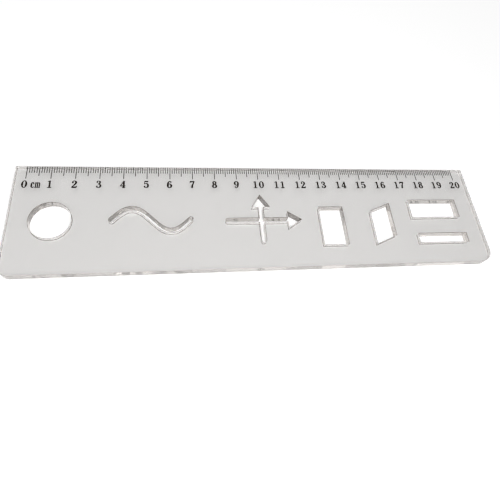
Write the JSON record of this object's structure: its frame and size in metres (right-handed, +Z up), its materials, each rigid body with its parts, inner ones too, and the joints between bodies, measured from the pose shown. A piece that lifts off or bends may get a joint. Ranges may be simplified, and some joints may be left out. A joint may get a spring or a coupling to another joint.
{
  "type": "drawing template",
  "caption": "Clear acrylic drawing template: a flat sheet with stencil cut-outs (circle, wave, crossed arrows, rectangles, parallelogram) and a printed centimetre scale along one edge.",
  "frame": {"origin": "middle of the underside of the sheet", "axes": "+X along the scale, from the zero mark to the last mark; +Y across the sheet, towards the scale edge; +Z up, out of the printed face"},
  "size_m": [0.2114, 0.05, 0.0037],
  "materials": {
    "clear_acrylic": "clear cast acrylic with a faint warm grey tone, polished faces and laser-cut edges",
    "black_ink": "black screen-printing ink, satin"
  },
  "bodies": {
    "root": {"acrylic_sheet": "clear_acrylic", "centimetre_mark_00": "black_ink", "centimetre_mark_01": "black_ink", "centimetre_mark_02": "black_ink", "centimetre_mark_03": "black_ink", "centimetre_mark_04": "black_ink", "centimetre_mark_05": "black_ink", "centimetre_mark_06": "black_ink", "centimetre_mark_07": "black_ink", "centimetre_mark_08": "black_ink", "centimetre_mark_09": "black_ink", "centimetre_mark_10": "black_ink", "centimetre_mark_11": "black_ink", "centimetre_mark_12": "black_ink", "centimetre_mark_13": "black_ink", "centimetre_mark_14": "black_ink", "centimetre_mark_15": "black_ink", "centimetre_mark_16": "black_ink", "centimetre_mark_17": "black_ink", "centimetre_mark_18": "black_ink", "centimetre_mark_19": "black_ink", "centimetre_mark_20": "black_ink", "half_centimetre_mark_00": "black_ink", "half_centimetre_mark_01": "black_ink", "half_centimetre_mark_02": "black_ink", "half_centimetre_mark_03": "black_ink", "half_centimetre_mark_04": "black_ink", "half_centimetre_mark_05": "black_ink", "half_centimetre_mark_06": "black_ink", "half_centimetre_mark_07": "black_ink", "half_centimetre_mark_08": "black_ink", "half_centimetre_mark_09": "black_ink", "half_centimetre_mark_10": "black_ink", "half_centimetre_mark_11": "black_ink", "half_centimetre_mark_12": "black_ink", "half_centimetre_mark_13": "black_ink", "half_centimetre_mark_14": "black_ink", "half_centimetre_mark_15": "black_ink", "half_centimetre_mark_16": "black_ink", "half_centimetre_mark_17": "black_ink", "half_centimetre_mark_18": "black_ink", "half_centimetre_mark_19": "black_ink"}
  },
  "joints": []
}
